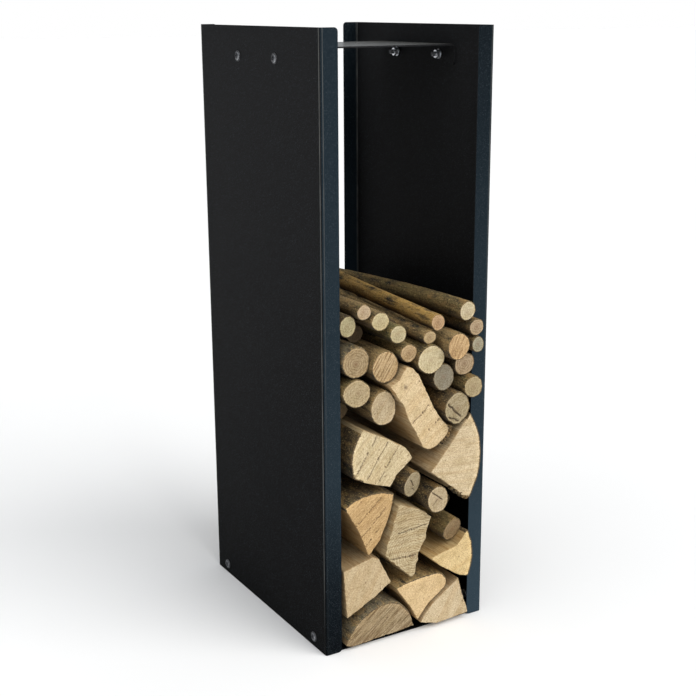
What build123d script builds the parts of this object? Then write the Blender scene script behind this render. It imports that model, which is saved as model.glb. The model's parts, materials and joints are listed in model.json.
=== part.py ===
from build123d import *
from math import sqrt
import os

# Firewood log rack: a narrow open-fronted tower of two folded side panels, tied at the bottom by a
# tray and at the top by a plate, with its load of firewood. Millimetres, +Z up. The origin is on the
# floor at the middle of the rack, and the open front faces -Y.

# ---- Driving dimensions of the rack -------------------------------------------------------------
HEIGHT = 800.0
WIDTH = 250.0
DEPTH = 330.0
SHEET = 2.0
FLANGE = 24.0
BEND_OUTER = 3.0
BEND_INNER = BEND_OUTER - SHEET
FLANGE_CORNER = 5.0

TAB = 27.0
TAB_CORNER = 6.0
BASE_DEPTH = DEPTH - 7.0
TIE_DEPTH = 170.0
TIE_TOP = 775.0

BOLT_OFFSET = 13.5
BASE_BOLT_Y = 132.0
TOP_BOLT_Y = 51.0
BASE_BOLT_Z = BOLT_OFFSET
TOP_BOLT_Z = TIE_TOP - BOLT_OFFSET

# M6 flanged button-head bolts with plain washers and hexagon nuts
BOLT_R = 3.0
BOLT_LENGTH = 16.0
HEAD_R = 5.25
HEAD_H = 3.3
HEAD_FLANGE_R = 6.8
HEAD_FLANGE_H = 0.9
SOCKET_R = 2.3
SOCKET_DEPTH = 2.0
HOLE_R = 3.3
WASHER_R = 6.0
WASHER_BORE_R = 3.2
WASHER_T = 1.6
NUT_ACROSS_FLATS = 10.0
NUT_T = 5.0
NUT_BORE_R = 3.05

HALF_W = WIDTH / 2
HALF_D = DEPTH / 2
INNER_X = HALF_W - SHEET

# ---- Firewood -----------------------------------------------------------------------------------
# Every log lies along Y. Its front end is at front_y and its rear end at front_y + length. Places in
# the stack are (x, z) in millimetres, seen from the front.

# Straight round logs and branches: x, z, width, height, front_y, length
ROUNDS = {
    "branch_upper_right": (88, 423, 20, 21, -192, 335),
    "branch_lower_right": (91, 400, 18, 21, -193, 340),
    "branch_thin_middle": (21, 416.5, 17, 17, -183, 338),
    "branch_middle": (-23, 425, 22, 23, -177, 332),
    "branch_left": (-47, 444, 24, 24, -173, 330),
    "branch_thin_left": (-69, 458, 18, 20, -170, 322),
    "branch_behind_flange": (-88, 440, 23, 27, -161, 318),
    "branch_inner_left": (-58, 420, 23, 22, -128, 285),
    "branch_inner_middle": (-1, 421, 19, 18, -124, 280),
    "round_log_upper_right": (58, 402, 34, 36, -197, 345),
    "round_log_upper_left": (-80, 394, 39, 40, -168, 328),
    "round_log_sawn": (-40, 384, 38, 41, -174, 336),
    "round_log_small": (-8, 399, 23, 23, -179, 333),
    "round_log_pale": (22, 388, 38, 38, -186, 342),
    "round_log_grey": (46, 359, 30, 36, -180, 330),
    "round_log_right": (77, 373, 29, 30, -182, 335),
    "round_log_lower_right": (86, 343, 28, 29, -192, 340),
    "round_log_left": (-79, 354, 38, 36, -169, 330),
    "round_log_large": (-42.5, 330, 36, 47, -174, 338),
    "round_log_cracked": (63, 316, 37, 44, -188, 340),
    "round_log_inner_left": (-82, 321, 22, 22, -130, 284),
    "round_log_core_left": (2, 218, 29, 37, -180, 330),
    "round_log_core_right": (36, 193, 30, 38, -185, 338),
    "round_log_brown": (68, 139.5, 31, 33, -179, 328),
    "branch_inner_mid_left": (-88, 224, 17, 18, -128, 280),
    "branch_inner_lower_right": (85, 163, 21, 21, -126, 282),
}

# Tapered branches that lie askew on top: front centre, rear centre, front radius, rear radius
ASKEW = {
    "branch_top_right": ((75, -190, 449), (69, 150, 434), 12.5, 9),
    "branch_long_middle": ((32, -184, 433.5), (34, 155, 438), 10.5, 11.5),
}

# Split logs: front_y, length and outline. A point is (x, z), reached by a straight split face, or
# (x, z, via_x, via_z), reached by the arc of the bark through (via_x, via_z).
SPLITS = {
    "split_log_plank": (
        -182,
        338,
        [(-12, 383), (-4, 380), (7, 369), (19, 345), (29, 323), (47, 298), (57, 289), (53, 279),
         (34, 266), (22, 264), (13, 269), (2, 292), (-10, 311), (-19, 334), (-38, 360), (-24, 366)],
    ),
    "split_log_quarter_right": (
        -191,
        345,
        [(83, 307), (82, 188, 100.5, 248), (71, 194), (21, 236), (34, 250), (50, 267), (66, 286)],
    ),
    "split_log_block_left": (
        -173,
        335,
        [(-71, 306), (-27, 283), (-7, 270), (4, 254), (-20, 236), (-30, 219), (-62, 230),
         (-85, 241), (-71, 306, -88, 274)],
    ),
    "split_log_wedge_left": (
        -168,
        332,
        [(-98, 203), (-21, 207, -58, 215), (-23, 194), (-31, 170), (-42, 146), (-60, 127),
         (-76, 165)],
    ),
    "split_log_core": (
        -175,
        336,
        [(-19, 194), (21, 177), (34, 166), (27, 151), (24, 136), (15, 116), (9, 88), (3, 84),
         (-39, 124), (-36, 142), (-27, 168)],
    ),
    "split_log_slice_right": (
        -181,
        338,
        [(28, 108), (49, 113), (71, 117), (88, 137), (91, 68, 98, 101), (78, 71), (49, 90)],
    ),
    "split_log_quad_left": (
        -167,
        330,
        [(-98, 114), (-53, 124), (-43, 120), (-25, 82), (-46, 69), (-94, 46)],
    ),
    "split_log_wedge_middle": (
        -173,
        334,
        [(-22, 74), (47, 80, 12, 80), (61, 57, 60, 70), (45, 46), (32, 38), (14, 18), (1, 42)],
    ),
    "split_log_corner_right": (
        -175,
        336,
        [(80, 65), (98, 8), (45, 5), (17, 14), (34, 36), (47, 44), (63, 54)],
    ),
    "split_log_weathered": (
        -170,
        330,
        [(-97, 7), (-28, 55, -75, 40), (-12, 49), (2, 33), (11, 9), (-90, 4)],
    ),
}


def side_panel(side):
    """One C-shaped side panel: a web with a front and a rear flange turned inwards."""
    outside = Location((-HALF_W + FLANGE / 2, 0, HEIGHT / 2)) * Box(FLANGE, DEPTH, HEIGHT)
    hollow_w = FLANGE - SHEET
    hollow_x = -INNER_X + hollow_w / 2
    hollow = Location((hollow_x, 0, HEIGHT / 2)) * Box(hollow_w, DEPTH - 2 * SHEET, HEIGHT)
    panel = outside - hollow
    upright = panel.edges().filter_by(Axis.Z)
    outer_bends = [e for e in upright if abs(e.center().X + HALF_W) < 0.1]
    panel = fillet(outer_bends, BEND_OUTER)
    upright = panel.edges().filter_by(Axis.Z)
    inner_bends = [
        e for e in upright
        if abs(e.center().X + INNER_X) < 0.1 and abs(abs(e.center().Y) - HALF_D + SHEET) < 0.1
    ]
    panel = fillet(inner_bends, BEND_INNER)
    free_edge_x = -HALF_W + FLANGE
    corners = [e for e in panel.edges().filter_by(Axis.Y) if abs(e.center().X - free_edge_x) < 0.1]
    panel = fillet(corners, FLANGE_CORNER)
    for y, z in bolt_places():
        panel -= Location((-HALF_W, y, z), (0, 90, 0)) * Cylinder(HOLE_R, 4 * SHEET)
    if side > 0:
        panel = mirror(panel, about=Plane.YZ)
    return panel


def bolt_places():
    """The (y, z) of the four bolts through one side panel."""
    top = [(y, TOP_BOLT_Z) for y in (-TOP_BOLT_Y, TOP_BOLT_Y)]
    base = [(y, BASE_BOLT_Z) for y in (-BASE_BOLT_Y, BASE_BOLT_Y)]
    return top + base


def channel(depth, bolt_y):
    """A plate lying on z = 0 between the panels, with a tab turned up at each end."""
    width = 2 * INNER_X
    outside = Location((0, 0, TAB / 2)) * Box(width, depth, TAB)
    hollow = Location((0, 0, TAB / 2 + SHEET)) * Box(width - 2 * SHEET, depth, TAB)
    plate = outside - hollow
    along = plate.edges().filter_by(Axis.Y)
    outer_bends = [e for e in along if e.center().Z < 0.1]
    plate = fillet(outer_bends, BEND_OUTER)
    along = plate.edges().filter_by(Axis.Y)
    inner_bends = [e for e in along if abs(e.center().Z - SHEET) < 0.1 and abs(e.center().X) < INNER_X - 1]
    plate = fillet(inner_bends, BEND_INNER)
    tab_tops = plate.edges().filter_by(Axis.X)
    corners = [e for e in tab_tops if abs(e.center().Z - TAB) < 0.1]
    plate = fillet(corners, TAB_CORNER)
    for x in (-INNER_X, INNER_X):
        for y in (-bolt_y, bolt_y):
            plate -= Location((x, y, BOLT_OFFSET), (0, 90, 0)) * Cylinder(HOLE_R, 4 * SHEET)
    return plate


def top_tie_plate():
    """The same folded shape turned over, with its tabs pointing down."""
    return Location((0, 0, TIE_TOP), (180, 0, 0)) * channel(TIE_DEPTH, TOP_BOLT_Y)


def bolt():
    """A flanged button-head bolt along +X, with the underside of its head at x = 0."""
    dome_h = HEAD_H - HEAD_FLANGE_H
    dome_r = (HEAD_R**2 + dome_h**2) / (2 * dome_h)
    via_r = HEAD_R / 2
    via_z = dome_r - HEAD_H - sqrt(dome_r**2 - via_r**2)
    head_arc = ThreePointArc((0, -HEAD_H), (via_r, via_z), (HEAD_R, -HEAD_FLANGE_H))
    outline = Polyline(
        (HEAD_R, -HEAD_FLANGE_H),
        (HEAD_FLANGE_R, -HEAD_FLANGE_H),
        (HEAD_FLANGE_R, 0),
        (BOLT_R, 0),
        (BOLT_R, BOLT_LENGTH - 0.6),
        (BOLT_R - 0.6, BOLT_LENGTH),
        (0, BOLT_LENGTH),
        (0, -HEAD_H),
    )
    profile = make_face([head_arc, outline])
    turned = revolve(Plane.XZ * profile, Axis.Z)
    socket_shape = extrude(RegularPolygon(SOCKET_R, 6), SOCKET_DEPTH)
    turned -= Location((0, 0, -HEAD_H)) * socket_shape
    return Location((0, 0, 0), (0, 90, 0)) * turned


def washer():
    """A plain washer along +X, standing on x = 0."""
    ring = extrude(Circle(WASHER_R) - Circle(WASHER_BORE_R), WASHER_T)
    return Location((0, 0, 0), (0, 90, 0)) * ring


def nut():
    """A hexagon nut along +X, standing on x = 0, with its faces' corners taken off."""
    hexagon = extrude(RegularPolygon(NUT_ACROSS_FLATS / 2, 6, major_radius=False), NUT_T)
    corner_r = NUT_ACROSS_FLATS / 2 * 1.12
    body = Location((0, 0, NUT_T / 2)) * Cylinder(corner_r, NUT_T)
    body = chamfer(body.edges(), 0.5)
    body = (hexagon & body) - Location((0, 0, NUT_T / 2)) * Cylinder(NUT_BORE_R, 2 * NUT_T)
    return Location((0, 0, 0), (0, 90, 0)) * body


def fasteners(make, distance, side, bolt_y, z):
    """Two copies of a fastener, at a distance inwards from the panel's outside face."""
    copies = []
    for y in (-bolt_y, bolt_y):
        piece = Location((-HALF_W + distance, y, z)) * make()
        if side > 0:
            piece = mirror(piece, about=Plane.YZ)
        copies.append(piece)
    return Compound(children=[solid for piece in copies for solid in piece.solids()])


def round_log(x, z, width, height, front_y, length):
    """A straight log with an elliptical section."""
    section = Plane((x, front_y, z), x_dir=(1, 0, 0), z_dir=(0, 1, 0)) * Ellipse(width / 2, height / 2)
    return extrude(section, length)


def askew_branch(front, rear, front_r, rear_r):
    """A tapered branch between two points."""
    along = Vector(rear) - Vector(front)
    front_face = Plane(front, z_dir=along) * Circle(front_r)
    rear_face = Plane(rear, z_dir=along) * Circle(rear_r)
    return loft([front_face, rear_face])


def split_log(front_y, length, outline):
    """A split log: flat split faces, with the bark's arc where the outline has one."""
    edges = []
    start = outline[0][:2]
    closing = [] if outline[-1][:2] == start else [start]
    here = start
    for step in outline[1:] + closing:
        end = step[:2]
        ends = [Vector(here[0], front_y, here[1]), Vector(end[0], front_y, end[1])]
        if len(step) == 4:
            edges.append(ThreePointArc(ends[0], Vector(step[2], front_y, step[3]), ends[1]))
        else:
            edges.append(Line(*ends))
        here = end
    return extrude(make_face(edges), length, dir=(0, 1, 0))


def rack_parts():
    """The rack's own pieces by name."""
    made = {
        "left_side_panel": side_panel(-1),
        "right_side_panel": side_panel(1),
        "base_tray": channel(BASE_DEPTH, BASE_BOLT_Y),
        "top_tie_plate": top_tie_plate(),
    }
    grip = 2 * SHEET
    for level, bolt_y, z in (("top", TOP_BOLT_Y, TOP_BOLT_Z), ("base", BASE_BOLT_Y, BASE_BOLT_Z)):
        for side_name, side in (("left", -1), ("right", 1)):
            where = f"{level}_{side_name}"
            made[f"{where}_bolts"] = fasteners(bolt, 0, side, bolt_y, z)
            made[f"{where}_washers"] = fasteners(washer, grip, side, bolt_y, z)
            made[f"{where}_nuts"] = fasteners(nut, grip + WASHER_T, side, bolt_y, z)
    return made


def firewood():
    """The load of logs by name."""
    made = {name: round_log(*sizes) for name, sizes in ROUNDS.items()}
    made.update({name: askew_branch(*sizes) for name, sizes in ASKEW.items()})
    made.update({name: split_log(*sizes) for name, sizes in SPLITS.items()})
    return made


os.makedirs("parts", exist_ok=True)
for node, shape in {**rack_parts(), **firewood()}.items():
    export_step(shape, f"parts/{node}.step")
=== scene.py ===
import json
import math

import bmesh
import bpy
import numpy as np
from mathutils import Matrix, Vector


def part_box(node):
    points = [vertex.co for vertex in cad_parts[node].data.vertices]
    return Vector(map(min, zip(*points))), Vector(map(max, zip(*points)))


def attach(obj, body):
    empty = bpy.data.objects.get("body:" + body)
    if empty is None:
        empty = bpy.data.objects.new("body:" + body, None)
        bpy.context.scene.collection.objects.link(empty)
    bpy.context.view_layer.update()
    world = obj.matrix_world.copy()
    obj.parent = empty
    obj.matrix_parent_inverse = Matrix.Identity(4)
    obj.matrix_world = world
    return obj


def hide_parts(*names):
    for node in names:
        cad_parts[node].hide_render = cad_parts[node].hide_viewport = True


# Looks for the firewood log rack: powder-coated sheet steel, zinc and black fasteners, and a stack of
# logs whose bark, split faces and sawn ends are modelled as geometry. Metres, the open front faces -Y.

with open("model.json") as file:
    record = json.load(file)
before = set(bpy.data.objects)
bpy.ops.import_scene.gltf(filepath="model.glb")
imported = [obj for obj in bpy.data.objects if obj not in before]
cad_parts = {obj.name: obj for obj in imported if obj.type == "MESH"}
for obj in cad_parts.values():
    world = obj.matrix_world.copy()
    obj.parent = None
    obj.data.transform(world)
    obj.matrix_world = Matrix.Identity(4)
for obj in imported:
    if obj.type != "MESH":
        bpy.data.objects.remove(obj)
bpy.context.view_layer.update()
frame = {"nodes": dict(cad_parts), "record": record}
nodes = frame["nodes"]
BODY_OF = {n: body for body, group in frame["record"]["behaviour"]["bodies"].items() for n in group}
SLOT_OF = {s["node"]: s["material_slot"] for s in frame["record"]["subparts"]}
MM = 0.001


def srgb(r, g, b):
    """A colour given as 0 to 255 screen values, as linear values for a shader."""
    return tuple(((c / 255 + 0.055) / 1.055) ** 2.4 if c > 10 else c / 255 / 12.92 for c in (r, g, b))


# ---- Noise --------------------------------------------------------------------------------------

def lattice(ix, iy, iz, seed):
    """A repeatable random value from -1 to 1 at each whole-number point."""
    h = (ix * 374761393 + iy * 668265263 + iz * 1440662683 + seed * 1274126177) & 0xFFFFFFFF
    h = ((h ^ (h >> 13)) * 1274126177) & 0xFFFFFFFF
    h = ((h ^ (h >> 15)) * 2246822519) & 0xFFFFFFFF
    return ((h ^ (h >> 16)) & 0xFFFFFF) / float(0x7FFFFF) - 1.0


def noise(p, seed=0):
    """Smooth value noise at the points p, an array of n by 3."""
    cell = np.floor(p).astype(np.int64)
    f = p - cell
    u = f * f * (3 - 2 * f)
    out = np.zeros(len(p))
    for dx in (0, 1):
        wx = u[:, 0] if dx else 1 - u[:, 0]
        for dy in (0, 1):
            wy = u[:, 1] if dy else 1 - u[:, 1]
            for dz in (0, 1):
                wz = u[:, 2] if dz else 1 - u[:, 2]
                out += wx * wy * wz * lattice(cell[:, 0] + dx, cell[:, 1] + dy, cell[:, 2] + dz, seed)
    return out


def fbm(p, seed=0, octaves=3):
    """Noise with finer, weaker copies of itself added."""
    total, weight = np.zeros(len(p)), 1.0
    for k in range(octaves):
        total += weight * noise(p * 2.03**k, seed + 17 * k)
        weight *= 0.5
    return total


# ---- Logs ---------------------------------------------------------------------------------------
# What each log looks like. end: colour of the sawn end in bright light, except that the logs deep inside
# the stack have darker ends as painted shade. bark: colour of its bark. saw: direction of the saw's marks
# in degrees and how strong they are. pith: where the growth rings centre, as a share of the end's box
# from its lower left. rings: how plainly they show. arc: how much of the outline is bark, as the least
# distance from the pith that counts, as a share of the greatest.
# cracks: each a start, an end and a width in millimetres; knots: each a place and a radius in
# millimetres; flakes: places of loose bark. Places are shares of the end's box, from its lower left.
# bow: how far a branch bends sideways and upwards, and rise: how far its rear end is carried off its
# straight line, sideways and upwards, in millimetres. tilt: how steeply the sawn end leans back across
# and up. rag: how rough the split faces are, in millimetres.

OLIVE_BARK, DARK_BARK, GOLD_BARK = (150, 130, 80), (112, 94, 64), (222, 180, 98)
GREY_BARK, GREEN_BARK, TAN_BARK = (146, 136, 112), (144, 134, 80), (176, 150, 102)

LOOKS = {
    "branch_upper_right": dict(
        end=(189, 169, 141), bark=DARK_BARK, rings=0.7, saw=(20, 0.2), rise=(-4, -3)
    ),
    "branch_lower_right": dict(end=(172, 168, 148), bark=DARK_BARK, rings=0.4, saw=(60, 0.2)),
    "branch_thin_middle": dict(
        end=(199, 178, 140), bark=TAN_BARK, rings=0.5, saw=(40, 0.4), rise=(1, 21)
    ),
    "branch_middle": dict(end=(204, 194, 160), bark=GREEN_BARK, rings=0.2, saw=(10, 0.2)),
    "branch_left": dict(end=(208, 196, 158), bark=TAN_BARK, rings=0.2, saw=(30, 0.3)),
    "branch_thin_left": dict(end=(204, 184, 156), bark=TAN_BARK, rings=0.3, saw=(75, 0.2)),
    "branch_behind_flange": dict(end=(186, 178, 142), bark=DARK_BARK, rings=0.3, saw=(50, 0.2)),
    # Deep inside the stack: these logs' ends are darker as painted shade.
    "branch_inner_left": dict(end=(96, 80, 54), bark=DARK_BARK, rings=0.4, saw=(15, 0.2)),
    "branch_inner_middle": dict(end=(96, 80, 54), bark=DARK_BARK, rings=0.4, saw=(70, 0.2)),
    "branch_top_right": dict(
        end=(214, 203, 174), bark=OLIVE_BARK, rings=0.3, saw=(35, 0.2), pith=(0.47, 0.4),
        bow=(1.5, 1.5), rise=(0, -5),
    ),
    "branch_long_middle": dict(
        end=(204, 173, 137), bark=GOLD_BARK, rings=0.5, saw=(80, 0.5), bow=(-2.0, 2.5), rise=(3, 14)
    ),
    "round_log_upper_right": dict(
        end=(218, 187, 142), bark=TAN_BARK, rings=0.25, saw=(62, 1.1), tilt=(0.10, 0.0)
    ),
    "round_log_upper_left": dict(
        end=(181, 162, 128), bark=GREY_BARK, rings=1.0, saw=(40, 0.5), pith=(0.5, 0.45)
    ),
    "round_log_sawn": dict(end=(212, 187, 147), bark=TAN_BARK, rings=0.15, saw=(56, 1.6)),
    "round_log_small": dict(end=(196, 171, 133), bark=OLIVE_BARK, rings=0.6, saw=(30, 0.5)),
    "round_log_pale": dict(end=(218, 206, 172), bark=OLIVE_BARK, rings=0.2, saw=(5, 0.15), pith=(0.5, 0.46)),
    "round_log_grey": dict(end=(156, 150, 134), bark=DARK_BARK, rings=0.4, saw=(65, 0.4)),
    "round_log_right": dict(end=(192, 172, 144), bark=DARK_BARK, rings=0.8, saw=(45, 0.3)),
    "round_log_lower_right": dict(end=(186, 171, 136), bark=OLIVE_BARK, rings=0.4, saw=(70, 0.2)),
    "round_log_left": dict(end=(194, 178, 144), bark=OLIVE_BARK, rings=0.5, saw=(35, 0.3), pith=(0.55, 0.5)),
    "round_log_large": dict(end=(204, 188, 158), bark=TAN_BARK, rings=0.35, saw=(50, 0.3), pith=(0.42, 0.62)),
    "round_log_cracked": dict(
        end=(184, 172, 142), bark=DARK_BARK, rings=0.6, saw=(30, 0.5),
        cracks=((0.12, 0.68, 0.68, 0.2, 1.0), (0.15, 0.26, 0.6, 0.1, 0.9)),
    ),
    # Deep inside the stack: its end is darker as painted shade.
    "round_log_inner_left": dict(end=(110, 92, 62), bark=GREY_BARK, rings=0.3, saw=(30, 0.3)),
    "round_log_core_left": dict(
        end=(178, 166, 138), bark=DARK_BARK, rings=0.5, saw=(50, 0.3), tilt=(0.28, -0.22),
        cracks=((0.35, 0.72, 0.6, 0.4, 0.6), (0.5, 0.35, 0.7, 0.2, 0.5)),
    ),
    "round_log_core_right": dict(
        end=(202, 186, 156), bark=DARK_BARK, rings=0.3, saw=(60, 0.3),
        cracks=((0.2, 0.82, 0.74, 0.45, 0.6), (0.25, 0.3, 0.5, 0.5, 0.4)),
    ),
    "round_log_brown": dict(
        end=(156, 134, 98), bark=OLIVE_BARK, rings=0.8, saw=(50, 0.7), tilt=(0.22, -0.26)
    ),
    # Deep inside the stack: these logs' ends are darker as painted shade.
    "branch_inner_mid_left": dict(end=(96, 80, 54), bark=DARK_BARK, rings=0.3, saw=(20, 0.2)),
    "branch_inner_lower_right": dict(end=(96, 80, 54), bark=DARK_BARK, rings=0.3, saw=(20, 0.2)),
    "split_log_plank": dict(
        end=(235, 214, 176), bark=(118, 96, 62), rings=0.1, saw=(40, 0.4), pith=(0.1, 1.3), arc=2.0, rag=0.5,
        cracks=((0.36, 0.34, 0.66, 0.53, 0.4), (0.62, 0.22, 0.84, 0.36, 0.45)), knots=((0.25, 0.77, 2.6),),
        flakes=(
            (0.985, 0.23), (0.985, 0.19), (0.965, 0.15), (0.94, 0.12), (0.90, 0.09), (0.86, 0.06),
            (0.81, 0.04),
        ),
    ),
    "split_log_quarter_right": dict(
        end=(227, 210, 178), bark=DARK_BARK, rings=0.12, saw=(-4, 0.45), pith=(-0.34, 0.5), arc=0.9, rag=0.5,
        flakes=((0.42, 0.155), (0.5, 0.11), (0.58, 0.07), (0.65, 0.03), (0.72, 0.01)),
    ),
    "split_log_block_left": dict(
        end=(230, 215, 180), bark=DARK_BARK, rings=0.1, saw=(48, 0.6), pith=(0.68, 0.6), arc=0.87, rag=0.5,
        cracks=((0.06, 0.25, 0.42, 0.88, 0.4), (0.25, 0.18, 0.62, 0.8, 0.4), (0.45, 0.12, 0.78, 0.68, 0.4)),
    ),
    "split_log_wedge_left": dict(
        end=(219, 187, 137), bark=DARK_BARK, rings=0.25, saw=(36, 0.7), pith=(0.5, 0.02), arc=0.87, rag=0.5,
        cracks=((0.2, 0.5, 0.75, 0.9, 0.35), (0.32, 0.3, 0.85, 0.72, 0.35), (0.42, 0.15, 0.72, 0.42, 0.35)),
    ),
    "split_log_core": dict(
        end=(216, 202, 168), bark=GREY_BARK, rings=1.0, saw=(2, 0.9), pith=(0.6, 0.28), arc=2.0, rag=1.2,
        cracks=((0.25, 0.62, 0.9, 0.66, 0.5), (0.12, 0.3, 0.7, 0.28, 0.5)),
    ),
    "split_log_slice_right": dict(
        end=(236, 212, 162), bark=DARK_BARK, rings=0.12, saw=(20, 0.2), pith=(-0.04, 0.45), arc=0.93, rag=0.3
    ),
    "split_log_quad_left": dict(
        end=(213, 194, 160), bark=DARK_BARK, rings=0.15, saw=(60, 0.3), pith=(1.2, -0.3), arc=2.0, rag=0.5
    ),
    "split_log_wedge_middle": dict(
        end=(232, 206, 162), bark=TAN_BARK, rings=0.12, saw=(10, 0.2), pith=(0.45, -1.1), arc=0.94, rag=0.3
    ),
    "split_log_corner_right": dict(
        end=(223, 206, 175), bark=DARK_BARK, rings=0.15, saw=(60, 0.3), pith=(1.1, 1.3), arc=2.0, rag=0.3
    ),
    "split_log_weathered": dict(
        end=(181, 164, 133), bark=GREY_BARK, rings=0.3, saw=(38, 1.8), pith=(0.52, -0.3), arc=0.88, rag=0.7,
    ),
}
WOOD_ALBEDO = 0.78
BARK, SPLIT, END = 0, 1, 2
ASKEW = ("branch_top_right", "branch_long_middle")
# Round logs are up to this much fuller on each side than in CAD, inside the gap between the flanges.
SWELL, MOUTH = 1.8 * MM, 99.9 * MM
OUTLINE_STEP, RING_STEP = 1.7 * MM, 5.5 * MM
# The first cross-sections lie this many millimetres in from an end, each drawn in by a share of the
# rim's rounding. A leaning end pulls the skin back over LEAN_REACH.
RIM_PLACES, RIM_SHARES = (0, 0.5, 1.4, 3.0), (1.0, 0.45, 0.12, 0)
RIM_ROUNDING, LEAN_REACH = 0.45 * MM, 45 * MM
REAR_TAPER = 0.06
CRACK_DEPTH, KNOT_DEPTH = 2.4 * MM, 1.2 * MM
# A rim value this high is far from any bark.
NO_BARK = 9.0


def merged(node):
    """A bmesh of a CAD node with its split vertices joined."""
    bm = bmesh.new()
    bm.from_mesh(nodes[node].data)
    bmesh.ops.remove_doubles(bm, verts=bm.verts, dist=1e-6)
    return bm


def end_outline(node):
    """The outline of a prism's front end: its corner points in order, an array of n by 2 in x and z."""
    bm = merged(node)
    front = min(v.co.y for v in bm.verts)
    rim = {}
    for e in bm.edges:
        if all(abs(v.co.y - front) < 1e-6 for v in e.verts):
            if any(abs(f.normal.y) < 0.5 for f in e.link_faces):
                a, b = e.verts
                rim.setdefault(a.index, []).append(b)
                rim.setdefault(b.index, []).append(a)
    bm.verts.ensure_lookup_table()
    first = bm.verts[min(rim)]
    loop, before, here = [first], None, first
    while True:
        onward = [v for v in rim[here.index] if v is not before][0]
        if onward is first:
            break
        loop.append(onward)
        before, here = here, onward
    points = np.array([(v.co.x, v.co.z) for v in loop])
    bm.free()
    x, z = points[:, 0], points[:, 1]
    area = np.sum(x * np.roll(z, -1) - z * np.roll(x, -1))
    return points if area > 0 else points[::-1]


def resample(points, step):
    """The closed outline cut into short, nearly equal runs, with its own corners kept."""
    out = []
    for a, b in zip(points, np.roll(points, -1, 0)):
        n = max(1, int(round(np.linalg.norm(b - a) / step)))
        out += [a + (b - a) * k / n for k in range(n)]
    return np.array(out)


def outward(points):
    """The outward direction at each point of an anticlockwise outline."""
    along = np.roll(points, -1, 0) - np.roll(points, 1, 0)
    normal = np.stack([along[:, 1], -along[:, 0]], 1)
    return normal / np.linalg.norm(normal, axis=1, keepdims=True)


def ends_of(node):
    """Front and rear centre and radius of a branch that lies askew."""
    co = np.array([v.co for v in nodes[node].data.vertices])
    middle = (co[:, 1].min() + co[:, 1].max()) / 2
    out = []
    for group in (co[co[:, 1] < middle], co[co[:, 1] >= middle]):
        group = np.unique(np.round(group, 6), axis=0)
        centre = (group.min(0) + group.max(0)) / 2
        out.append((centre, (group[:, 0].max() - group[:, 0].min()) / 2))
    return out


def section(node, look, seed):
    """The outline of a log about its centre, its outward directions, and which points are bark."""
    lo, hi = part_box(node)
    if node.startswith("split_log"):
        points = end_outline(node)
        centre = (points.min(0) + points.max(0)) / 2
        points = resample(points, OUTLINE_STEP)
        points = (np.roll(points, 1, 0) + 2 * points + np.roll(points, -1, 0)) / 4
        pith = np.array([lo.x, lo.z]) + np.array(look["pith"]) * (hi.x - lo.x, hi.z - lo.z)
        reach = np.linalg.norm(points - pith, axis=1)
        bark = (reach > look["arc"] * reach.max()).astype(float)
        bark = (np.roll(bark, 1) + bark + np.roll(bark, -1)) / 3
        return centre, points - centre, bark, pith
    if node in ASKEW:
        (front, front_r), _ = ends_of(node)
        centre, half = np.array([front[0], front[2]]), np.array([front_r, front_r])
    else:
        left, right = max(lo.x - SWELL, -MOUTH), min(hi.x + SWELL, MOUTH)
        centre = np.array([(left + right) / 2, (lo.z + hi.z) / 2])
        half = np.array([(right - left) / 2, (hi.z - lo.z) / 2 + 0.4 * SWELL])
    count = max(44, int(2 * math.pi * half.mean() / (1.5 * MM)))
    angle = np.linspace(0, 2 * math.pi, count, endpoint=False)
    lumps = np.stack([1.3 * np.cos(angle), 1.3 * np.sin(angle), np.full(count, seed * 3.7)], 1)
    radius = 1.0 + 0.045 * noise(lumps, seed) + 0.02 * noise(lumps * 2.7, seed + 5)
    radius = radius / radius.max()
    points = np.stack([half[0] * radius * np.cos(angle), half[1] * radius * np.sin(angle)], 1)
    share = np.array(look.get("pith", (0.5, 0.5))) - 0.5
    return centre, points, np.ones(count), centre + 2 * share * half


def cap_height(rel, box_low, box_size, look, seed):
    """How far the sawn end stands back from its plane, in metres, at points rel from the centre."""
    turn, strength = look["saw"]
    a = math.radians(turn)
    across = -rel[:, 0] * math.sin(a) + rel[:, 1] * math.cos(a)
    along = rel[:, 0] * math.cos(a) + rel[:, 1] * math.sin(a)
    marks = np.stack([across / (1.6 * MM), along / (26 * MM), np.full(len(rel), seed * 1.3)], 1)
    grit = np.column_stack([rel / (1.5 * MM), np.full(len(rel), seed * 3.1)])
    swell = np.column_stack([rel / (22 * MM), np.full(len(rel), seed * 2.1)])
    depth = strength * 0.22 * MM * fbm(marks, seed, 2)
    depth = depth + 0.12 * MM * noise(grit, seed + 6)
    depth = depth + 0.5 * MM * noise(swell, seed + 3)
    for x0, z0, x1, z1, width in look.get("cracks", ()):
        start = box_low + np.array([x0, z0]) * box_size
        run = box_low + np.array([x1, z1]) * box_size - start
        length = np.linalg.norm(run)
        along = (rel - start) @ run / length
        across = (rel - start) @ np.array([-run[1], run[0]]) / length
        wander = 0.8 * MM * noise(np.stack([along / (5 * MM), along * 0, along * 0 + seed], 1), seed + 9)
        inside = np.clip(1.4 - np.abs(across - wander) / (width * MM), 0, 1)
        reach = np.clip(along / (2 * MM), 0, 1) * np.clip((length - along) / (2 * MM), 0, 1)
        depth = depth + CRACK_DEPTH * inside * reach
    for x0, z0, size in look.get("knots", ()):
        off = np.linalg.norm(rel - box_low - np.array([x0, z0]) * box_size, axis=1)
        depth = depth + KNOT_DEPTH * np.exp(-((off / (size * MM)) ** 2))
    return depth


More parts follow.
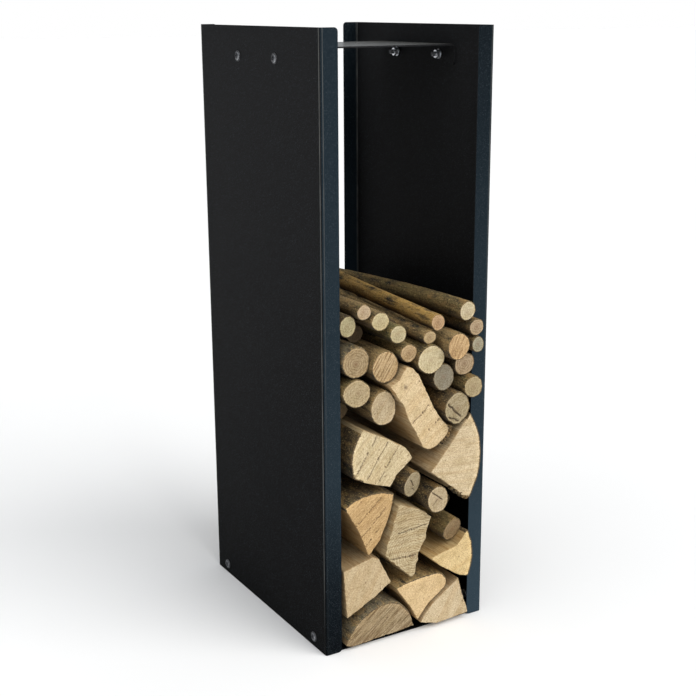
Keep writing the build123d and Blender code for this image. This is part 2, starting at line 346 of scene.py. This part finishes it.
def bark_chip(seed):
    """A loose flake of bark about its own centre: its vertices and its faces."""
    bm = bmesh.new()
    bmesh.ops.create_icosphere(bm, subdivisions=3, radius=1.0)
    ball = np.array([v.co for v in bm.verts])
    faces = [[v.index for v in f.verts] for f in bm.faces]
    bm.free()
    rough = 1 + 0.35 * noise(ball * 1.3 + seed * 5.1, seed) + 0.2 * noise(ball * 3.1 + seed * 3.3, seed + 1)
    flat = ball * rough[:, None] * np.array([3.2, 6.5, 1.7]) * MM
    turn = 0.7 + 0.5 * math.sin(seed * 1.9)
    c, s = math.cos(turn), math.sin(turn)
    return flat @ np.array([[c, 0, s], [0, 1, 0], [-s, 0, c]]), faces


def build_log(node, seed):
    """One log as a lofted skin with bark, split faces and two sawn ends."""
    look = LOOKS[node]
    lo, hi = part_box(node)
    centre, rel, bark, pith = section(node, look, seed)
    normal = outward(rel)
    count = len(rel)
    length = hi.y - lo.y
    rings = int(length / RING_STEP)
    edge = np.array(RIM_PLACES) * MM
    between = np.linspace(lo.y + 6 * MM, hi.y - 6 * MM, rings)
    y = np.concatenate([lo.y + edge, between, (hi.y - edge)[::-1]])
    shrink = np.concatenate([RIM_SHARES, np.zeros(rings), RIM_SHARES[::-1]]) * RIM_ROUNDING
    share = (y - lo.y) / length
    shift, scale = np.zeros((len(y), 2)), np.ones(len(y))
    if node in ASKEW:
        (front, front_r), (rear, rear_r) = ends_of(node)
        shift = share[:, None] * (np.array([rear[0], rear[2]]) - centre)
        scale = 1 + share * (rear_r / front_r - 1)
    if not node.startswith("split_log"):
        scale = scale * (1 - REAR_TAPER * share)
    shift = shift + (share**1.6)[:, None] * np.array(look.get("rise", (0, 0))) * MM
    bow = look.get("bow", (0, 0))
    sway = np.sin(math.pi * share)[:, None] * np.array(bow) * MM
    twist = np.sin(2 * math.pi * share + seed)[:, None] * np.array([0.25, 0.25]) * MM
    shift = shift + sway + twist - twist[0]

    ring_of = np.repeat(np.arange(len(y)), count)
    point_of = np.tile(np.arange(count), len(y))
    base = rel[point_of] * scale[ring_of][:, None]
    at = base / MM
    size = min(hi.x - lo.x, hi.z - lo.z)
    rough = np.clip(size / (40 * MM), 0.4, 1.2)
    yy = y[ring_of] / MM + 57 * seed

    def cells(across, along):
        """Where to read the noise, with cells so many millimetres across and along the log."""
        return np.stack([at[:, 0] / across, yy / along, at[:, 1] / across], 1)

    ridges = fbm(cells(4.2, 34), seed, 3)
    flakes = noise(cells(9, 14), seed + 21)
    bark_lift = (0.42 * ridges + 0.38 * flakes) * rough * MM
    fibres = fbm(cells(1.9, 120), seed + 40, 3)
    waves = noise(cells(16, 70), seed + 50)
    rag = look.get("rag", 0.4)
    notches = noise(cells(4.5, 30), seed + 60)
    split_lift = (0.4 * fibres + 0.8 * waves + rag * notches - 0.25) * MM
    mask = bark[point_of]
    lift = mask * bark_lift + (1 - mask) * split_lift - shrink[ring_of]
    knot_y = lo.y + length * (0.25 + 0.5 * ((seed * 0.37) % 1))
    knot_turn = seed * 2.4
    toward = base[:, 0] * math.cos(knot_turn) + base[:, 1] * math.sin(knot_turn)
    radius = np.linalg.norm(base, axis=1)
    near = np.exp(-((y[ring_of] - knot_y) ** 2) / (2 * (5 * MM) ** 2))
    near = near * np.clip(toward / radius, 0, 1) ** 24
    lift = lift + mask * 1.6 * MM * near
    side = base + normal[point_of] * lift[:, None] + shift[ring_of]
    lean = np.array(look.get("tilt", (0.03 * math.cos(seed), 0.03 * math.sin(seed))))
    lean_top = np.abs(rel @ lean).max()
    fade = np.clip(1 - (y - lo.y) / LEAN_REACH, 0, 1)[ring_of]
    back = (lean_top + base @ lean) * fade
    co = [np.stack([centre[0] + side[:, 0], y[ring_of] + back, centre[1] + side[:, 1]], 1)]
    rim = [np.zeros(len(side))]
    dark = [np.zeros(len(side))]
    # How high the bark stands; the bark shader darkens its low places, partly the bark's own colour, partly
    # painted shade.
    relief = [np.clip(0.5 + 0.45 * (0.6 * ridges + 0.5 * flakes), 0, 1)]
    bark_depth = (2.0 if node.startswith("split_log") else 0.6 + 10 * size) * MM

    faces, kinds = [], []
    for j in range(len(y) - 1):
        for i in range(count):
            k = (i + 1) % count
            faces.append((j * count + i, j * count + k, (j + 1) * count + k, (j + 1) * count + i))
            kinds.append(BARK if bark[i] + bark[k] > 1 else SPLIT)

    reach = np.linalg.norm(rel, axis=1)
    step = 1.6 * MM if reach.max() > 28 * MM else 1.2 * MM
    inner = max(6, int(reach.mean() / step))
    fractions = np.concatenate([[0.975, 0.94], np.linspace(0.9, 0.9 / inner, inner)])
    unmarked = {key: value for key, value in look.items() if key not in ("cracks", "knots")}
    for end, sign, marks in ((0, 1, look), (len(y) - 1, -1, unmarked)):
        outer = side[ring_of == end]
        middle = outer.mean(0)
        previous = end * count + np.arange(count)
        for f in fractions:
            flat = middle + (outer - middle) * f
            spot = flat - shift[end]
            depth = cap_height(spot, rel.min(0), np.ptp(rel, axis=0), marks, seed + (end > 0) * 31)
            plain = cap_height(spot, rel.min(0), np.ptp(rel, axis=0), unmarked, seed + (end > 0) * 31)
            # How far cracks and knots sink in: used for painted shade in the cracks and the knots' own darker
            # colour.
            dark.append(np.clip((depth - plain) / (1.2 * MM), 0, 1))
            start = sum(len(c) for c in co)
            leaned = (lean_top + spot @ lean) * (sign > 0)
            place = y[end] + leaned + sign * (depth + 0.1 * MM)
            co.append(np.stack([centre[0] + flat[:, 0], place, centre[1] + flat[:, 1]], 1))
            inwards = np.linalg.norm(outer - middle, axis=1) * (1 - f)
            rim.append(inwards / bark_depth + (1 - bark) * NO_BARK)
            relief.append(np.full(count, 0.5))
            current = start + np.arange(count)
            for i in range(count):
                k = (i + 1) % count
                quad = (previous[i], current[i], current[k], previous[k])
                faces.append(quad if sign > 0 else quad[::-1])
                kinds.append(END)
            previous = current
        hub = sum(len(c) for c in co)
        hub_y = y[end] + (lean_top + (middle - shift[end]) @ lean) * (sign > 0) + sign * 0.1 * MM
        co.append(np.array([[centre[0] + middle[0], hub_y, centre[1] + middle[1]]]))
        rim.append(np.array([NO_BARK]))
        dark.append(np.array([0.0]))
        relief.append(np.array([0.5]))
        for i in range(count):
            k = (i + 1) % count
            tri = (previous[i], hub, previous[k])
            faces.append(tri if sign > 0 else tri[::-1])
            kinds.append(END)

    for number, (x0, z0) in enumerate(look.get("flakes", ())):
        start = sum(len(c) for c in co)
        at_edge = rel.min(0) + np.array([x0, z0]) * np.ptp(rel, axis=0)
        chip, chip_faces = bark_chip(seed * 7 + number)
        co.append(chip + (centre[0] + at_edge[0], lo.y + lean_top + 3 * MM, centre[1] + at_edge[1]))
        rim.append(np.full(len(chip), NO_BARK))
        dark.append(np.zeros(len(chip)))
        # The flakes count as higher on top and lower beneath, so they are painted paler on top and darker
        # underneath: painted light and shade.
        relief.append(np.clip(0.5 + 90 * chip[:, 2], 0, 1))
        faces += [tuple(start + i for i in f) for f in chip_faces]
        kinds += [BARK] * len(chip_faces)

    co = np.concatenate(co)
    mesh = bpy.data.meshes.new(node + "_wood")
    mesh.from_pydata(co.tolist(), [], [tuple(int(v) for v in f) for f in faces])
    mesh.polygons.foreach_set("material_index", np.array(kinds, np.int32))
    mesh.polygons.foreach_set("use_smooth", np.ones(len(faces), bool))
    turn, strength = look["saw"]
    a = math.radians(turn)
    grain = np.stack([co[:, 0] - pith[0], co[:, 1], co[:, 2] - pith[1]], 1)
    saw = -(co[:, 0] - centre[0]) * math.sin(a) + (co[:, 2] - centre[1]) * math.cos(a)
    put(mesh, "grain", "FLOAT_VECTOR", "vector", grain)
    put(mesh, "rim", "FLOAT", "value", np.concatenate(rim))
    put(mesh, "saw", "FLOAT", "value", saw + seed * 0.13)
    put(mesh, "saw_strength", "FLOAT", "value", np.full(len(co), strength))
    put(mesh, "rings", "FLOAT", "value", np.full(len(co), look["rings"]))
    put(mesh, "relief", "FLOAT", "value", np.concatenate(relief))
    put(mesh, "dark", "FLOAT", "value", np.concatenate(dark))
    for part in ("end", "bark"):
        colour = [WOOD_ALBEDO * c for c in srgb(*look[part])]
        put(mesh, part + "_colour", "FLOAT_COLOR", "color", np.tile([*colour, 1.0], (len(co), 1)))
    mesh.update()
    log = bpy.data.objects.new(node + "_wood", mesh)
    bpy.context.scene.collection.objects.link(log)
    for material in (bark_material, split_material, end_material):
        mesh.materials.append(material)
    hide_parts(node)
    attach(log, BODY_OF[node])
    return log


def put(mesh, name, kind, key, values):
    """Stores one value for each vertex."""
    attribute = mesh.attributes.new(name, kind, "POINT")
    attribute.data.foreach_set(key, np.asarray(values, np.float32).ravel())


# ---- Materials ----------------------------------------------------------------------------------

class Shader:
    """A small helper that adds nodes to a material and joins them."""

    def __init__(self, name):
        self.material = bpy.data.materials.new(name)
        self.material.use_nodes = True
        self.tree = self.material.node_tree
        self.bsdf = self.tree.nodes["Principled BSDF"]

    def link(self, a, b):
        self.tree.links.new(a, b)

    def place(self):
        """Where a point lies on the object."""
        return self.tree.nodes.new("ShaderNodeTexCoord").outputs["Object"]

    def parts(self, vector):
        """The x, y and z of a vector."""
        made = self.tree.nodes.new("ShaderNodeSeparateXYZ")
        self.link(vector, made.inputs[0])
        return made.outputs

    def facing(self):
        """The x, y and z of the direction that a face points in."""
        return self.parts(self.tree.nodes.new("ShaderNodeNewGeometry").outputs["True Normal"])

    def between(self, share, low, high):
        """A value that runs from low to high with a share from 0 to 1."""
        made = self.tree.nodes.new("ShaderNodeMapRange")
        self.link(share, made.inputs["Value"])
        made.inputs["To Min"].default_value = low
        made.inputs["To Max"].default_value = high
        return made.outputs[0]

    def math(self, operation, a, b=None, c=None, clamp=False):
        """A calculation on up to three values, each a number or another node's output."""
        made = self.tree.nodes.new("ShaderNodeMath")
        made.operation = operation
        made.use_clamp = clamp
        for socket, value in zip(made.inputs, (a, b, c)):
            if value is None:
                continue
            if isinstance(value, (int, float)):
                socket.default_value = value
            else:
                self.link(value, socket)
        return made.outputs[0]

    def attribute(self, name, output="Fac"):
        """A value that the mesh holds for each vertex."""
        made = self.tree.nodes.new("ShaderNodeAttribute")
        made.attribute_name = name
        return made.outputs[output]

    def scaled(self, vector, scale):
        made = self.tree.nodes.new("ShaderNodeMapping")
        self.link(vector, made.inputs["Vector"])
        made.inputs["Scale"].default_value = scale
        return made.outputs[0]

    def noise(self, vector, scale, detail=3.0, roughness=0.55, distortion=0.0):
        made = self.tree.nodes.new("ShaderNodeTexNoise")
        self.link(vector, made.inputs["Vector"])
        made.inputs["Scale"].default_value = scale
        made.inputs["Detail"].default_value = detail
        made.inputs["Roughness"].default_value = roughness
        made.inputs["Distortion"].default_value = distortion
        return made.outputs["Fac"]

    def ramp(self, fac, *stops):
        """A value or colour that changes along stops, each a place from 0 to 1 and what it is there."""
        made = self.tree.nodes.new("ShaderNodeValToRGB")
        self.link(fac, made.inputs["Fac"])
        elements = made.color_ramp.elements
        while len(elements) < len(stops):
            elements.new(0.5)
        for element, (place, value) in zip(elements, stops):
            element.position = place
            element.color = (value, value, value, 1) if isinstance(value, (int, float)) else (*value, 1)
        return made.outputs["Color"]

    def mix(self, fac, a, b, blend="MIX"):
        """Two colours blended by a share."""
        made = self.tree.nodes.new("ShaderNodeMix")
        made.data_type = "RGBA"
        made.blend_type = blend
        for socket, value in ((made.inputs[0], fac), (made.inputs[6], a), (made.inputs[7], b)):
            if isinstance(value, (int, float)):
                socket.default_value = value
            elif isinstance(value, tuple):
                socket.default_value = (*value, 1)
            else:
                self.link(value, socket)
        return made.outputs[2]

    def bump(self, height, strength, distance, after=None):
        """Fine relief in the surface, over any relief that it already has."""
        made = self.tree.nodes.new("ShaderNodeBump")
        self.link(height, made.inputs["Height"])
        made.inputs["Strength"].default_value = strength
        made.inputs["Distance"].default_value = distance
        if after is not None:
            self.link(after, made.inputs["Normal"])
        return made.outputs[0]

    def finish(self, colour, roughness, normal=None, metallic=0.0):
        """Joins everything to the surface and gives back the material."""
        self.link(colour, self.bsdf.inputs["Base Color"])
        if isinstance(roughness, (int, float)):
            self.bsdf.inputs["Roughness"].default_value = roughness
        else:
            self.link(roughness, self.bsdf.inputs["Roughness"])
        self.bsdf.inputs["Metallic"].default_value = metallic
        if normal is not None:
            self.link(normal, self.bsdf.inputs["Normal"])
        return self.material


RING_WIDTH, HEART_RADIUS = 3.4 * MM, 8.5 * MM


def make_bark():
    """Bark in the log's own colour: dark pits, worn ridges over grooves darkened as painted shade, lichen,
    pale flecks as painted highlights, and undersides darkened as painted shade.
    """
    s = Shader("bark")
    grain = s.attribute("grain", "Vector")
    colour = s.attribute("bark_colour", "Color")
    streaks = s.noise(s.scaled(grain, (1, 0.22, 1)), 420, 4, 0.65)
    patches = s.noise(s.scaled(grain, (1, 0.4, 1)), 90, 3)
    flecks = s.noise(s.scaled(grain, (1, 0.5, 1)), 620, 3, 0.6)
    # Darker in the grooves and lighter on the ridges: partly the bark's own colour, partly painted shade.
    relief = s.math("ADD", s.attribute("relief"), s.math("MULTIPLY", streaks, 0.9))
    worn = s.mix(s.ramp(relief, (0.62, 0.0), (1.05, 1.0)), srgb(36, 30, 18), colour)
    warm = s.mix(s.ramp(patches, (0.48, 0.0), (0.68, 0.7)), worn, srgb(172, 138, 84))
    lichen = s.mix(s.ramp(s.noise(grain, 170, 2), (0.58, 0.0), (0.7, 0.5)), warm, srgb(118, 116, 66))
    # Pale flecks over the bark: painted highlights.
    with_painted_glints = s.mix(s.ramp(flecks, (0.57, 0.0), (0.68, 0.75)), lichen, srgb(214, 186, 128))
    with_painted_glints = s.mix(1.0, with_painted_glints, (0.74, 0.71, 0.66), "MULTIPLY")
    pitted = s.mix(s.ramp(flecks, (0.34, 0.8), (0.44, 0.0)), with_painted_glints, srgb(24, 19, 12))
    # Undersides darkened by which way the face points: painted shade.
    upwards = s.math("MULTIPLY", s.math("ADD", s.facing()[2], 1.0), 0.5)
    painted_underside_shade = s.ramp(upwards, (0.25, 1.0), (0.62, 0.0))
    final = s.mix(painted_underside_shade, pitted, (0.30, 0.27, 0.22), "MULTIPLY")
    normal = s.bump(streaks, 0.8, 0.0014)
    normal = s.bump(flecks, 0.5, 0.0007, normal)
    return s.finish(final, 0.88, normal)


def make_split():
    """Split wood: long fibres, broad bands and dull spots."""
    s = Shader("split_wood")
    grain = s.attribute("grain", "Vector")
    colour = s.attribute("end_colour", "Color")
    fibres = s.noise(s.scaled(grain, (1, 0.035, 1)), 900, 4, 0.6)
    bands = s.noise(s.scaled(grain, (1, 0.06, 1)), 130, 2)
    shade = s.mix(s.ramp(fibres, (0.32, 1.0), (0.62, 0.0)), colour, (0.6, 0.5, 0.38), "MULTIPLY")
    toned = s.mix(s.ramp(bands, (0.42, 0.0), (0.72, 0.8)), shade, (0.84, 0.7, 0.5), "MULTIPLY")
    spots = s.noise(s.scaled(grain, (1, 0.3, 1)), 380, 3)
    final = s.mix(s.ramp(spots, (0.3, 0.7), (0.42, 0.0)), toned, (0.55, 0.44, 0.32), "MULTIPLY")
    aged = s.mix(1.0, final, (0.80, 0.74, 0.64), "MULTIPLY")
    normal = s.bump(fibres, 0.6, 0.0009)
    return s.finish(aged, 0.74, normal)


def make_end():
    """A sawn end: growth rings, saw marks, stains, pores, dark cracks with painted shade in them, and a rim
    of bark.
    """
    s = Shader("sawn_end")
    grain = s.attribute("grain", "Vector")
    colour = s.attribute("end_colour", "Color")
    strength = s.attribute("saw_strength")
    rings = s.attribute("rings")
    flat = s.scaled(grain, (1, 0.0, 1))
    length = s.tree.nodes.new("ShaderNodeVectorMath")
    length.operation = "LENGTH"
    s.link(flat, length.inputs[0])
    radius = s.math("ADD", length.outputs["Value"], s.math("MULTIPLY", s.noise(flat, 60, 2), 0.0065))
    turns = s.math("MULTIPLY", radius, 2 * math.pi / RING_WIDTH)
    ring = s.ramp(s.math("SINE", turns), (0.0, 0.0), (0.9, 1.0))
    broken = s.math("MULTIPLY", ring, s.ramp(s.noise(flat, 240, 3), (0.36, 0.15), (0.62, 1.0)))
    ringed = s.mix(s.math("MULTIPLY", broken, rings), colour, (0.6, 0.5, 0.38), "MULTIPLY")
    saw = s.tree.nodes.new("ShaderNodeCombineXYZ")
    parts = s.parts(grain)
    s.link(s.attribute("saw"), saw.inputs[0])
    s.link(s.math("MULTIPLY", parts[0], 0.06), saw.inputs[1])
    s.link(s.math("MULTIPLY", parts[2], 0.06), saw.inputs[2])
    lines = s.noise(saw.outputs[0], 560, 3, 0.6)
    marks = s.ramp(lines, (0.40, 1.0), (0.53, 0.0))
    amount = s.math("MULTIPLY", marks, s.math("MULTIPLY", strength, 0.6), clamp=True)
    sawn = s.mix(amount, ringed, (0.5, 0.42, 0.32), "MULTIPLY")
    broad = s.ramp(s.noise(saw.outputs[0], 120, 2), (0.46, 0.0), (0.7, 0.7))
    sawn = s.mix(broad, sawn, (0.87, 0.8, 0.68), "MULTIPLY")
    stain = s.mix(s.ramp(s.noise(flat, 75, 3), (0.46, 0.0), (0.7, 0.9)), sawn, (0.8, 0.78, 0.7), "MULTIPLY")
    blotches = s.ramp(s.noise(flat, 430, 4, 0.65), (0.35, 1.0), (0.58, 0.0))
    mottle = s.mix(blotches, stain, (0.66, 0.62, 0.55), "MULTIPLY")
    pores = s.noise(flat, 1250, 2)
    spots = s.mix(s.ramp(pores, (0.36, 0.9), (0.46, 0.0)), mottle, (0.46, 0.37, 0.28), "MULTIPLY")
    nicks = s.ramp(s.noise(flat, 210, 2), (0.28, 0.9), (0.345, 0.0))
    chips = s.mix(nicks, spots, (0.3, 0.22, 0.15), "MULTIPLY")
    heart = s.math("SUBTRACT", 1.0, s.math("DIVIDE", radius, HEART_RADIUS), clamp=True)
    dark_heart = s.math("MULTIPLY", heart, s.math("ADD", rings, 0.25), clamp=True)
    cored = s.mix(dark_heart, chips, srgb(104, 76, 48))
    # Darker where cracks and knots sink in: painted shade in the cracks, the knots' own darker colour.
    cored = s.mix(s.math("MULTIPLY", s.attribute("dark"), 0.85), cored, srgb(62, 44, 28))
    wander = s.math("MULTIPLY", s.math("SUBTRACT", s.noise(flat, 420, 2), 0.5), 1.6)
    from_rim = s.math("DIVIDE", s.math("ADD", s.attribute("rim"), wander), 10.0)
    inner = s.ramp(from_rim, (0.12, 0.0), (0.45, 0.75))
    sap = s.mix(inner, (1.18, 1.14, 1.06), (0.94, 0.92, 0.88))
    pale = s.mix(1.0, cored, sap, "MULTIPLY")
    edge = s.ramp(from_rim, (0.07, 1.0), (0.11, 0.0))
    bark = s.mix(s.ramp(s.noise(flat, 700, 2), (0.4, 0.0), (0.6, 1.0)), srgb(36, 29, 18), srgb(108, 88, 56))
    final = s.mix(edge, pale, bark)
    height = s.math("ADD", s.math("MULTIPLY", lines, strength), s.math("MULTIPLY", pores, 0.5))
    normal = s.bump(height, 0.6, 0.0007)
    return s.finish(final, 0.82, normal)


PANEL_LOW, PANEL_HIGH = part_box("left_side_panel")
# BEND: where the painted highlight line along each bend lies, in from the panel's two outer faces.
HALF_WIDTH, HALF_DEPTH, BEND = -PANEL_LOW.x, PANEL_HIGH.y, 3.2 * MM
# How far from those faces the painted highlight line may show, and the sheen of plain powder coat.
SKIN, MATT = 2.5 * MM, 0.014


def make_powder_coat(name, painted_face_light, dust_and_reflection=0.0, sheen=0.0):
    """Black powder coat with a fine sparkle and a faint painted highlight line where each bend begins and
    ends.

    painted_face_light: how much bluer and lighter the faces to the front and rear are, as painted light and
    reflection.
    dust and sheen: how pale, from dirt and painted reflection, and how glossy the upward faces are. The
    coat also darkens by height, painted shade as uneven light would make it: webs and the left panel's
    flanges towards the floor, the right panel's flanges towards the top.
    """
    s = Shader(name)
    coords = s.place()
    orange_peel = s.noise(coords, 1300, 2, 0.5)
    fine = s.noise(coords, 1500, 1, 0.5)
    clouds = s.noise(coords, 7, 3)
    place = s.parts(coords)
    facing = s.facing()
    height = s.math("DIVIDE", place[2], PANEL_HIGH.z)
    web = s.mix(clouds, (0.0135, 0.0135, 0.0140), (0.0160, 0.0160, 0.0167))
    web = s.mix(1.0, web, s.ramp(height, (0.0, 0.12), (0.45, 0.5), (0.95, 1.0)), "MULTIPLY")
    # The flanges, which face front and rear, are bluer and lighter than the webs: painted light and
    # reflection, faded by height as painted shade.
    flange = s.mix(clouds, (0.0200, 0.0335, 0.0455), (0.0245, 0.0400, 0.0530))
    on_left = s.math("LESS_THAN", place[0], 0.0)
    fade_up = s.ramp(height, (0.1, 1.0), (0.5, 0.55), (1.0, 0.2))
    fade_down = s.ramp(height, (0.0, 0.07), (0.12, 0.18), (0.3, 0.6), (1.0, 0.46))
    flange = s.mix(1.0, flange, s.mix(on_left, fade_up, fade_down), "MULTIPLY")
    sideways = s.ramp(s.math("ABSOLUTE", facing[0]), (0.55, 0.0), (0.85, 1.0))
    face_light_share = s.math("MULTIPLY", s.math("SUBTRACT", 1.0, sideways), painted_face_light)
    base = s.mix(face_light_share, web, flange)
    flecked = s.mix(s.ramp(fine, (0.64, 0.0), (0.74, 0.8)), base, (0.075, 0.09, 0.105))
    # A painted highlight along both sides of each bend, dimmer towards the floor.
    side, depth = (s.math("ABSOLUTE", place[axis]) for axis in (0, 1))
    on_web = s.math("COMPARE", depth, HALF_DEPTH - BEND, 0.9 * MM)
    on_flange = s.math("COMPARE", side, HALF_WIDTH - BEND, 0.6 * MM)
    near_web = s.math("GREATER_THAN", side, HALF_WIDTH - SKIN)
    near_flange = s.math("GREATER_THAN", depth, HALF_DEPTH - SKIN)
    web_line = s.math("MULTIPLY", on_web, near_web)
    web_line = s.math("MULTIPLY", web_line, s.ramp(height, (0.04, 0.1), (0.2, 1.0)))
    flange_line = s.math("MULTIPLY", on_flange, near_flange)
    flange_line = s.math("MULTIPLY", flange_line, s.ramp(height, (0.3, 0.05), (0.8, 0.45)))
    bend_highlight_lines = s.math("ADD", web_line, flange_line, clamp=True)
    painted_bend_highlight = s.math("MULTIPLY", bend_highlight_lines, s.ramp(s.noise(coords, 40, 2), (0.3, 0.5), (0.6, 1.0)))
    flecked = s.mix(painted_bend_highlight, flecked, (0.12, 0.125, 0.12))
    # Upward faces are painted paler: dirt, and painted reflection.
    upward = s.ramp(facing[2], (0.9, 0.0), (0.98, 1.0))
    dust_and_reflection_share = s.math("MULTIPLY", upward, dust_and_reflection)
    final = s.mix(dust_and_reflection_share, flecked, (0.24, 0.24, 0.21))
    gloss = s.math("MULTIPLY", upward, sheen)
    s.link(gloss, s.bsdf.inputs["Coat Weight"])
    s.bsdf.inputs["Coat Roughness"].default_value = 0.2
    s.link(s.math("ADD", gloss, MATT), s.bsdf.inputs["Specular IOR Level"])
    normal = s.bump(orange_peel, 0.35, 0.00035)
    return s.finish(final, s.between(clouds, 0.42, 0.52), normal)


def make_zinc():
    """Bright zinc plate with faint blotches."""
    s = Shader("zinc_plate")
    coords = s.place()
    blotch = s.noise(coords, 500, 2)
    final = s.mix(blotch, srgb(214, 218, 222), srgb(244, 246, 250))
    normal = s.bump(s.noise(coords, 2500, 2), 0.2, 0.0002)
    return s.finish(final, s.between(blotch, 0.30, 0.42), normal, metallic=1.0)


def make_black_bolt():
    """Black oxide, worn pale where the head is rounded."""
    s = Shader("black_oxide")
    coords = s.place()
    along_bolt = s.math("ABSOLUTE", s.facing()[0])
    rounded = s.ramp(along_bolt, (0.35, 1.0), (0.6, 1.0), (0.93, 0.0))
    worn = s.math("MULTIPLY", rounded, s.ramp(s.noise(coords, 380, 3), (0.3, 0.6), (0.7, 1.0)))
    final = s.mix(worn, srgb(46, 47, 50), srgb(180, 182, 186))
    normal = s.bump(s.noise(coords, 2600, 2), 0.25, 0.0002)
    return s.finish(final, 0.3, normal, metallic=0.8)


def make_floor():
    """A pale, very slightly uneven floor."""
    s = Shader("floor")
    colour = s.mix(s.noise(s.place(), 2, 2), (0.86, 0.86, 0.86), (0.9, 0.9, 0.9))
    return s.finish(colour, 0.9)


bark_material, split_material, end_material = make_bark(), make_split(), make_end()

FINISH = {
    "powder_coat": make_powder_coat("powder_coat", painted_face_light=1.0),
    "zinc": make_zinc(),
    "black_bolt": make_black_bolt(),
}
for name, node in nodes.items():
    if SLOT_OF[name] in FINISH:
        node.data.materials.clear()
        node.data.materials.append(FINISH[SLOT_OF[name]])
plain_coat = make_powder_coat("powder_coat_tray", painted_face_light=0.0)
# The tie plate's top is painted paler, dirt and painted reflection, and made glossy.
dust_and_reflection_coat = make_powder_coat("powder_coat_dust_and_reflection", painted_face_light=0.0, dust_and_reflection=0.26, sheen=1.0)
nodes["base_tray"].data.materials[0] = plain_coat
nodes["top_tie_plate"].data.materials[0] = dust_and_reflection_coat

for number, name in enumerate(sorted(LOOKS)):
    build_log(name, number + 1)

# ---- Floor, light and camera --------------------------------------------------------------------

# The floor reaches this far each way, and lies just under the rack's foot.
REACH, FLOOR_GAP = 30, 0.5 * MM
floor_mesh = bpy.data.meshes.new("floor")
corners = [(REACH * x, REACH * y, 0) for x, y in ((-1, -1), (1, -1), (1, 1), (-1, 1))]
floor_mesh.from_pydata(corners, [], [(0, 1, 2, 3)])
floor = bpy.data.objects.new("floor", floor_mesh)
bpy.context.scene.collection.objects.link(floor)
floor.location.z = -FLOOR_GAP
floor_mesh.materials.append(make_floor())

# The camera sees a plain white backdrop, and everything else gets a soft, slightly blue light from it.
world = bpy.data.worlds.new("studio")
bpy.context.scene.world = world
world.use_nodes = True
sky = world.node_tree.nodes["Background"]
sky.inputs["Color"].default_value = (0.92, 0.96, 1.0, 1)
sky.inputs["Strength"].default_value = 0.35
backdrop = world.node_tree.nodes.new("ShaderNodeBackground")
backdrop.inputs["Color"].default_value = (1, 1, 1, 1)
seen = world.node_tree.nodes.new("ShaderNodeLightPath")
either = world.node_tree.nodes.new("ShaderNodeMixShader")
world.node_tree.links.new(seen.outputs["Is Camera Ray"], either.inputs[0])
world.node_tree.links.new(sky.outputs[0], either.inputs[1])
world.node_tree.links.new(backdrop.outputs[0], either.inputs[2])
world.node_tree.links.new(either.outputs[0], world.node_tree.nodes["World Output"].inputs["Surface"])


def far_light(name, towards, strength, spread, colour):
    """A distant soft light that comes from a direction."""
    data = bpy.data.lights.new(name, "SUN")
    data.energy = strength
    data.angle = math.radians(spread)
    data.color = colour
    light = bpy.data.objects.new(name, data)
    bpy.context.scene.collection.objects.link(light)
    light.rotation_mode = "QUATERNION"
    light.rotation_quaternion = Vector(towards).to_track_quat("Z", "Y")


far_light("key", (1.0, -2.2, 1.5), strength=2.6, spread=60, colour=(1.0, 0.985, 0.96))
far_light("top", (-0.25, -0.35, 1.0), strength=1.5, spread=80, colour=(1.0, 1.0, 1.0))

AZIMUTH, ELEVATION, ROLL = (math.radians(a) for a in (-30.69, 15.38, -0.30))
CAMERA_PLACE = (-0.8551, -1.4550, 0.8272)
LENS, SENSOR = 64.94, 36
back = Vector(
    (math.sin(AZIMUTH) * math.cos(ELEVATION), -math.cos(AZIMUTH) * math.cos(ELEVATION), math.sin(ELEVATION))
)
right = (-back).cross(Vector((0, 0, 1))).normalized()
up = right.cross(-back)
camera_right = math.cos(ROLL) * right + math.sin(ROLL) * up
camera_up = -math.sin(ROLL) * right + math.cos(ROLL) * up
camera_data = bpy.data.cameras.new("camera")
camera_data.sensor_width = SENSOR
camera_data.lens = LENS
camera = bpy.data.objects.new("camera", camera_data)
bpy.context.scene.collection.objects.link(camera)
stand = Matrix((camera_right, camera_up, back)).transposed().to_4x4()
stand.translation = CAMERA_PLACE
camera.matrix_world = stand
bpy.context.scene.camera = camera

bpy.context.scene.view_settings.view_transform = "Standard"
